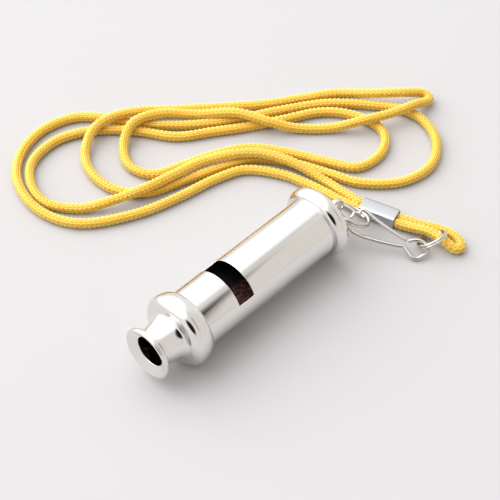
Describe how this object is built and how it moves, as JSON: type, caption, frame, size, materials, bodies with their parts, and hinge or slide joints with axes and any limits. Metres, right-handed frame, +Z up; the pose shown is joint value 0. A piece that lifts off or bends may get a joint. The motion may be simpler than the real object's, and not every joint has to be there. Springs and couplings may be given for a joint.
{
  "type": "training whistle",
  "caption": "Two-chamber metal tube whistle with a rounded mouthpiece, collar, sound windows and capped end, on a braided neck cord with a ring, snap hook and clamp.",
  "frame": {"origin": "on the surface that the whistle lies on, under the middle of the whistle with its eye", "axes": "+X along the whistle from its mouth to its eye, +Z up, +Y across towards the coiled part of the cord"},
  "size_m": [0.1482, 0.1352, 0.0236],
  "materials": {
    "nickel_plate": "bright nickel plate, mirror polished",
    "inner_metal": "bare dark metal inside the tube",
    "ring_wire": "plated wire",
    "hook_wire": "plated spring wire",
    "clamp_plate": "satin plated sheet",
    "cord_braid": "braided synthetic cord, golden yellow"
  },
  "bodies": {
    "lanyard": {"neck_cord": "cord_braid", "cord_clamp": "clamp_plate"},
    "link": {"link_ring": "ring_wire"},
    "hook": {"snap_hook": "hook_wire"},
    "latch": {"hook_latch": "hook_wire"},
    "ring": {"split_ring": "ring_wire"},
    "whistle": {"body_tube": "nickel_plate", "mouthpiece": "nickel_plate", "end_cap": "nickel_plate", "divider_plate": "inner_metal", "upper_windway_block": "inner_metal", "lower_windway_block": "inner_metal", "upper_chamber_stop": "inner_metal", "lower_chamber_stop": "inner_metal", "cap_eye": "nickel_plate", "eye_washer": "inner_metal"}
  },
  "joints": [
    {"name": "link_swing", "type": "hinge", "parent": "lanyard", "child": "link", "pos_m": [0.05755, -0.025, 0.0038], "axis": [0, 1, 0], "range_deg": [0, 25]},
    {"name": "hook_lift", "type": "hinge", "parent": "link", "child": "hook", "pos_m": [0.05085, -0.0252, 0.0038], "axis": [1, 0, 0], "range_deg": [0, 15]},
    {"name": "latch_bend", "type": "hinge", "parent": "hook", "child": "latch", "pos_m": [0.04995, -0.0202, 0.0036], "axis": [0.8967, 0.167, 0.4099], "range_deg": [0, 8], "stiffness_Nm_per_rad": 0.02},
    {"name": "ring_swing", "type": "hinge", "parent": "hook", "child": "ring", "pos_m": [0.04475, -0.009, 0.0065], "axis": [-0.3539, 0.9139, 0.199], "range_deg": [0, 25]},
    {"name": "whistle_swing", "type": "hinge", "parent": "ring", "child": "whistle", "pos_m": [0.0379, 0, 0.0118], "axis": [0, 1, 0], "range_deg": [0, 45]}
  ]
}
